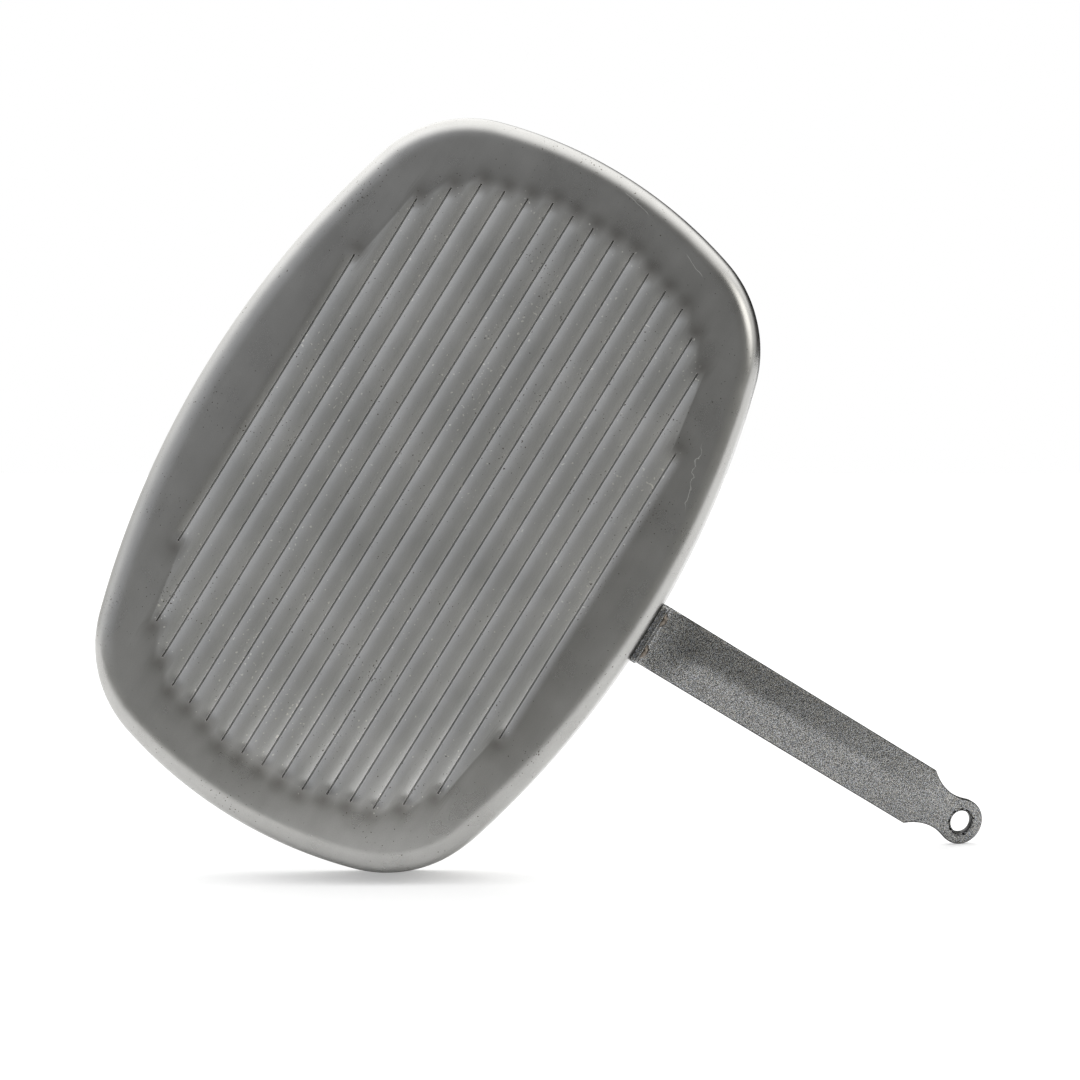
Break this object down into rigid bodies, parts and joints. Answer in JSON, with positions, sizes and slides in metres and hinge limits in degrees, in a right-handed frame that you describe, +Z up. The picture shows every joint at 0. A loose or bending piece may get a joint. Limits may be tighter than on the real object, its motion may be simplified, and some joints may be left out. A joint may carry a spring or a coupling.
{
  "type": "ribbed grill pan",
  "caption": "Rectangular pressed steel grill pan with bowed sides, a ribbed floor and a riveted strip handle that ends in a hanging eye.",
  "frame": {"origin": "middle of the whole object's footprint, on the plane that the pan's floor rests on", "axes": "+X along the pan's long side, +Y towards the hanging eye of the handle, +Z up out of the open pan"},
  "size_m": [0.3798, 0.4756, 0.1003],
  "materials": {
    "pan_steel": "bare pressed carbon steel, dull satin with a fine grain and light handling marks",
    "hammered_paint": "grey hammered-effect enamel with a fine speckle",
    "rivet_steel": "dark bronzed steel, worn on the domes"
  },
  "bodies": {
    "root": {"pan_body": "pan_steel", "handle": "hammered_paint", "left_rivet": "rivet_steel", "right_rivet": "rivet_steel"}
  },
  "joints": []
}
